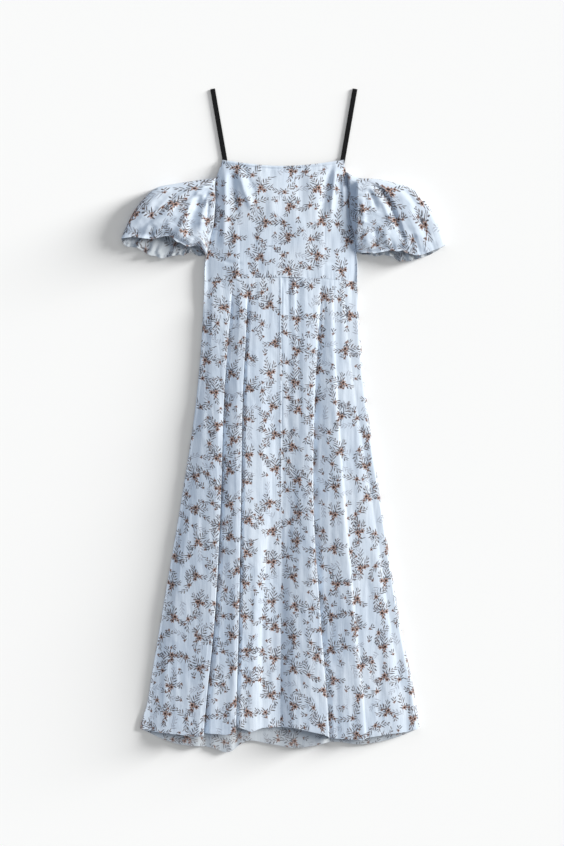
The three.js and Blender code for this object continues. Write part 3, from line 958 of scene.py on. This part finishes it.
def sleeve_layer(side, edge, across, along):
    """The patch of one layer. Its armhole and underarm lie along the bodice's side, its fold and
    hem are curves through the table's points, and noise makes the hem wavy."""
    cut = SLEEVES[side]
    depth, seed = HEM_WAVES[edge]
    outwards = -SLEEVE_CLEAR if side == "left" else SLEEVE_CLEAR

    def seam(y):
        return np.stack([side_edge(side, y) + outwards, y], axis=-1)

    def armhole(across):
        return seam(lerp(*cut["armhole"], across))

    def underarm(along):
        return seam(lerp(cut["armhole"][1], cut["underarm"], along))

    def fold(along):
        return through([tuple(armhole(np.array(0.0))), *cut["fold"]], along)

    def hem(across):
        finish = tuple(underarm(np.array(1.0)))
        place = through([cut["fold"][-1], *cut[edge], finish], across)
        wave = noise(across * 17, across * 0 + 0.5, seed) * np.sin(np.pi * across)
        place[..., 1] += depth * wave
        return place

    return patch_in(armhole, fold, hem, underarm, across, along)


def sleeve_relief(creases, x, y, across, along, fine):
    """What lies on the upper layer: creases, gathers that die away from both ends, the groove
    over the cuff's elastic, and small unevenness."""
    relief = sum(crease(x, y, *one) for one in creases)
    relief = 0.75 * relief + 1.5 * noise(across * 9, along * 2.2, 63) * np.sin(np.pi * along)
    gather = noise(across * 15, along * 2.5, 67)
    relief = relief + 1.6 * fine * bump(along, 0, 0.4)
    relief = relief + (1.2 * fine + 2.6 * gather) * bump(along, 1, 0.2)
    relief = relief + 0.6 * noise(x / 9, y / 9, 65)
    return relief - 4.0 * bump(along, 0.95, 0.035)


def sleeve_heights(side, x, y, across, along, turn):
    """The heights of the upper layer without its relief, of the upper layer, and of the lower
    one. The arch |sin(turn)|^0.45 is 0 at both edges of a layer and nearly 1 between them."""
    cut = SLEEVES[side]
    climb = np.sin(np.pi / 2 * np.clip(along / cut["rise"], 0, 1)) ** 0.8
    puff = lerp(ARMHOLE_HEIGHT, np.interp(along, PUFF_PLACES, cut["puff"]), climb)
    arch = np.abs(np.sin(turn)) ** 0.45
    plain = SLEEVE_FLOOR + EDGE_GAP + (puff - PUFF_BASE) * arch
    fine = noise(across * 26, along * 3 + 5, 64)
    relief = sleeve_relief(cut["creases"], x, y, across, along, fine)
    top = plain + relief * np.minimum(arch, ease(along, 0, 0.12) + 0.2)
    if side == "right":
        beside = 1 - ease(x, POCKET["wall"] - 1, POCKET["wall"] + 1.5)
        pocket = beside * ease(POCKET["top"] - y, 0, 22)
        top = lerp(top, np.minimum(top, POCKET["height"]), pocket)
    frill = ease(along, 0.72, 1) * arch
    curl = 6 * (0.6 + noise(across * 31, along * 14, 66)) + 4 * fine
    under = SLEEVE_FLOOR + np.maximum(curl, 0) * frill
    return plain, np.maximum(top, under + 3.0 * arch + 0.2), under


def sleeve(side):
    """One sleeve: a tube of rows from the armhole to the cuff, each going once around it."""
    rows, half = 110, 120
    along, turn = np.mgrid[0 : 1 : (rows + 1) * 1j, 0 : 2 * np.pi : (2 * half + 1) * 1j]
    across = (1 - np.cos(turn)) / 2
    is_top = turn <= np.pi
    top = sleeve_layer(side, "cuff", across, along)
    under = sleeve_layer(side, "under", across, along)
    place = np.where(is_top[..., None], top, under)
    x, y = place[..., 0], place[..., 1]
    plain, high, low = sleeve_heights(side, x, y, across, along, turn)
    base = np.stack([x, y, np.where(is_top, plain, SLEEVE_FLOOR)], axis=-1) * MM
    chart = chart_of(base, origin=0.25, shift=SLEEVES[side]["print"])
    points = np.stack([x, y, np.where(is_top, high, low)], axis=-1)[:, :-1] * MM
    if side == "right":
        # Round the other way, so that the faces of this one point outwards too.
        points = np.roll(points[:, ::-1], 1, axis=1)
        chart = chart[:, ::-1]
    piece = make_surface(f"sleeve_{side}_cloth", points, chart, ring=True)
    sew(piece, chart, f"sleeve_{side}", CLOTH)


sleeve("left")
sleeve("right")

# %% [markdown]
# ## The straps
# Each strap is one band of black woven elastic. Its front end is sewn inside the neckline, it
# runs up to the shoulder, turns over in a square fold, and comes back down behind itself to the
# back. A flat strip with painted ribs would look thin at the fold, so the band is a section
# carried along that path, with slanting ribs pressed into it.

# %% Straps
# Each strap's foot and its fold at the shoulder, across and up the dress.
STRAPS = {"left": ((-117, 517), (-145, 679)), "right": ((119, 517), (147, 679))}
BAND_WIDTH = 10.0
BAND_THICK = 1.1
RIB_PITCH = 2.1
RIB_SLANT = 0.9
RIB_DEPTH = 0.09
AROUND_BAND = 33


def band_path(length):
    """The band seen from its side, with a run of evenly spaced points along it: how far each
    lies from the foot, how high, and how much band lies before it. The heights are those of a
    few corners joined by straight lines, each averaged with its neighbours."""
    rear, front, lower, upper = 2.0, 3.6, 0.6, 1.95
    path = np.array([
        (0, front), (11, front), (24, upper), (60, upper), (length - 3, 2.0),
        (length - 0.9, 1.75), (length - 0.5, 1.2), (length - 0.9, 0.65),
        (length - 3, lower), (60, lower), (24, lower), (11, rear), (0, rear),
    ])
    stretch = np.concatenate([[0], np.cumsum(np.hypot(*np.diff(path, axis=0).T))])
    at = np.linspace(0, stretch[-1], 900)
    distance = np.interp(at, stretch, path[:, 0])
    height = np.interp(at, stretch, path[:, 1])
    smooth = np.convolve(np.pad(height, 4, mode="edge"), np.ones(9) / 9, mode="valid")
    return distance, smooth, at


def band_section(at):
    """The band's section at each place along it, as offsets across and through the band: a
    rounded oblong, the square roots of a circle's sine and cosine, thicker on each rib."""
    turn = np.linspace(2 * np.pi, 0, AROUND_BAND)
    wide = np.sign(np.cos(turn)) * np.abs(np.cos(turn)) ** 0.5 * (BAND_WIDTH / 2 - 0.1)
    thick = np.sign(np.sin(turn)) * np.abs(np.sin(turn)) ** 0.5 * (BAND_THICK / 2 - 0.08)
    rib = np.sin(2 * np.pi * (at[:, None] + np.abs(wide)[None, :] * RIB_SLANT) / RIB_PITCH)
    thick = thick[None, :] * (1 + RIB_DEPTH * rib)
    scallop = 1 + 0.01 * np.sin(2 * np.pi * at / RIB_PITCH)[:, None]
    return np.broadcast_to(wide[None, :], thick.shape) * scallop, thick


def strap(side):
    """One strap: the section carried along the path, square to it at every place."""
    foot, top = (np.array(end, float) for end in STRAPS[side])
    run = top - foot
    length = np.hypot(*run)
    ahead = run / length
    across = np.array([-ahead[1], ahead[0]])
    d, z, at = band_path(length)
    slope_d, slope_z = np.gradient(d), np.gradient(z)
    size = np.hypot(slope_d, slope_z)
    normal_d, normal_z = -slope_z / size, slope_d / size
    wide, thick = band_section(at)
    along = d[:, None] + normal_d[:, None] * thick
    height = z[:, None] + normal_z[:, None] * thick
    flat = foot + along[..., None] * ahead + wide[..., None] * across
    points = np.concatenate([flat, height[..., None]], axis=-1) * MM
    chart = np.stack(np.broadcast_arrays(wide * 2, at[:, None]), axis=-1) * MM
    piece = make_surface(f"strap_{side}_band", points[:, :-1], chart, ring=True)
    piece.data.materials.append(strap_black)
    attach(piece, "root")
    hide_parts(f"strap_{side}")
    print(f"{piece.name}: {at[-1]:.0f} mm of band")


strap("left")
strap("right")

# %% [markdown]
# ## Table, light and camera
# The table is plain and nearly white. A broad soft light comes from the right, a little above
# the picture's level, so the folds shade to the left. A weak bluish light from the other side and
# the pale studio fill their shade. The soft grey shadow beside the dress is long for such a
# light, so the table has a lower one of its own from the same side, and a fill from above.
# The camera looks straight down through a long lens.

# %% Table
TABLE_SIZE = 60.0
TABLE_WHITE = rgba(0.90, 0.90, 0.895)
bpy.ops.mesh.primitive_plane_add(size=TABLE_SIZE, location=(0, 0, 0))
table = bpy.context.object
table.name = "table"
table_material, table_shader, _ = new_material("table_top")
table_shader.inputs["Base Color"].default_value = TABLE_WHITE
table_shader.inputs["Roughness"].default_value = 0.9
table_shader.inputs["Specular IOR Level"].default_value = 0.0
table.data.materials.append(table_material)
print("table:", list(map(float, table.dimensions)))

# %% Light
STUDIO_WHITE = rgba(0.96, 0.98, 1.0)
STUDIO_STRENGTH = 0.35
world = bpy.data.worlds.new("studio")
bpy.context.scene.world = world
world.use_nodes = True
world.node_tree.nodes["Background"].inputs[0].default_value = STUDIO_WHITE
world.node_tree.nodes["Background"].inputs[1].default_value = STUDIO_STRENGTH


def add_sun(name, azimuth, elevation, strength, spread, colour, lit):
    """A distant light from a direction in degrees, azimuth from +X towards +Y. Its strength is
    in watts a square metre and its spread, which softens the shadows, in degrees. It lights only
    the objects given, and everything casts its shadow."""
    light = bpy.data.lights.new(name, "SUN")
    light.energy = strength
    light.angle = np.radians(spread)
    light.color = colour
    lamp = bpy.data.objects.new(name, light)
    level, up = np.radians(azimuth), np.radians(elevation)
    towards = Vector((-np.cos(level) * np.cos(up), -np.sin(level) * np.cos(up), -np.sin(up)))
    lamp.rotation_euler = towards.to_track_quat("-Z", "Y").to_euler()
    bpy.context.scene.collection.objects.link(lamp)
    group = bpy.data.collections.new(name + "_lights")
    for piece in lit:
        group.objects.link(piece)
    lamp.light_linking.receiver_collection = group
    print(f"{name}: {strength} W/m2 on {len(lit)} objects")


meshes = [piece for piece in bpy.context.scene.objects if piece.type == "MESH"]
dress_pieces = [piece for piece in meshes if piece is not table]
add_sun("dress_light", 20, 29, 4.2, 38, (1.0, 0.98, 0.935), dress_pieces)
add_sun("dress_fill", 190, 55, 0.45, 120, (0.35, 0.60, 1.0), dress_pieces)
add_sun("table_light", 21, 10.5, 10.3, 18, (1.0, 1.0, 0.995), [table])
add_sun("table_fill", 0, 90, 0.4, 150, (1.0, 1.0, 0.99), [table])
bpy.context.scene.view_settings.view_transform = "Standard"

# %% Camera
CAMERA_HEIGHT = 6.0
CAMERA_OVER = (-0.0027, -0.0062)
FRAME_HEIGHT = 1.7343
SENSOR = 36.0
camera_data = bpy.data.cameras.new("camera")
camera_data.sensor_fit = "AUTO"
camera_data.sensor_width = SENSOR
camera_data.lens = SENSOR * CAMERA_HEIGHT / FRAME_HEIGHT
camera_data.clip_end = 100.0
camera = bpy.data.objects.new("camera", camera_data)
camera.location = (*CAMERA_OVER, CAMERA_HEIGHT)
bpy.context.scene.collection.objects.link(camera)
bpy.context.scene.camera = camera
print(f"lens: {camera_data.lens:.1f} mm, {CAMERA_HEIGHT} m above the table")
